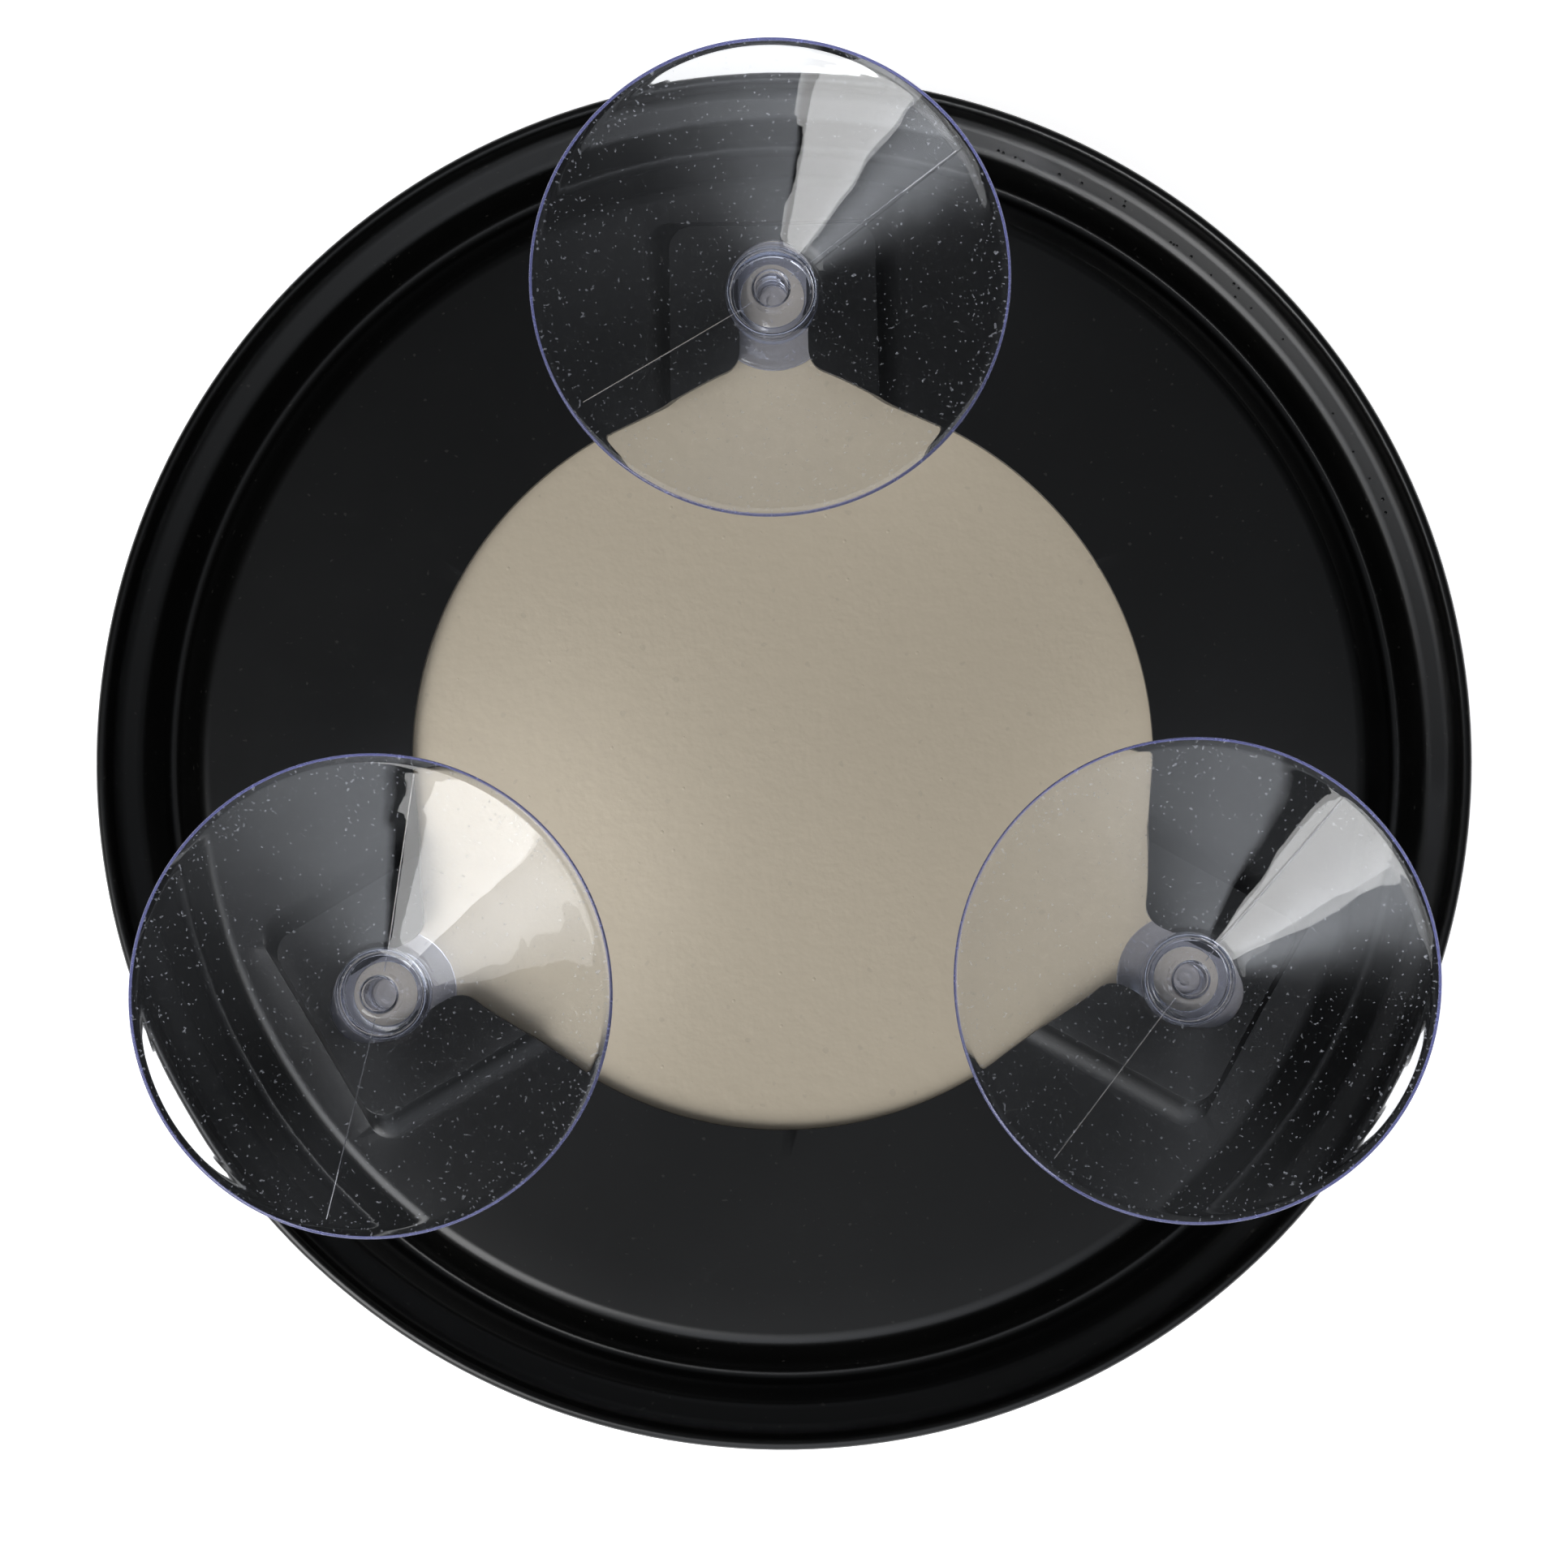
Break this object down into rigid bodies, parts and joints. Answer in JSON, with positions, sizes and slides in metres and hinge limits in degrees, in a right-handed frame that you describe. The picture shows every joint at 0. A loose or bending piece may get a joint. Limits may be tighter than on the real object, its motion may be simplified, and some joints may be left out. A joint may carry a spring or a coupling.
{
  "type": "suction mount mirror",
  "caption": "Round mirror seen from behind: one black moulded shell, a painted glass back in its opening, clear suction cups in keyhole slots.",
  "frame": {"origin": "on the mirror's axis, in the plane of the flat ridge around its face, which it lies on face down", "axes": "+Z is the mirror's axis, from the face to the suction cups; +Y points to the top cup"},
  "size_m": [0.178, 0.178, 0.0318],
  "materials": {
    "shell": "satin black moulded plastic",
    "glass": "silvered glass, its back painted beige with a fine orange-peel texture",
    "trim": "bright plated plastic",
    "cup": "clear soft PVC, glossy"
  },
  "bodies": {
    "mirror_body": {"body_shell": "shell", "mirror_glass": "glass", "trim_ring": "trim"},
    "cup_top": {"suction_cup_top": "cup"},
    "cup_left": {"suction_cup_left": "cup"},
    "cup_right": {"suction_cup_right": "cup"}
  },
  "joints": [
    {"name": "cup_top_slide", "type": "slide", "parent": "mirror_body", "child": "cup_top", "axis": [0, 1, 0], "range_m": [-0.0165, 0.001]},
    {"name": "cup_left_slide", "type": "slide", "parent": "mirror_body", "child": "cup_left", "axis": [-0.866, -0.5, 0], "range_m": [-0.0165, 0.001]},
    {"name": "cup_right_slide", "type": "slide", "parent": "mirror_body", "child": "cup_right", "axis": [0.866, -0.5, 0], "range_m": [-0.0165, 0.001]}
  ]
}
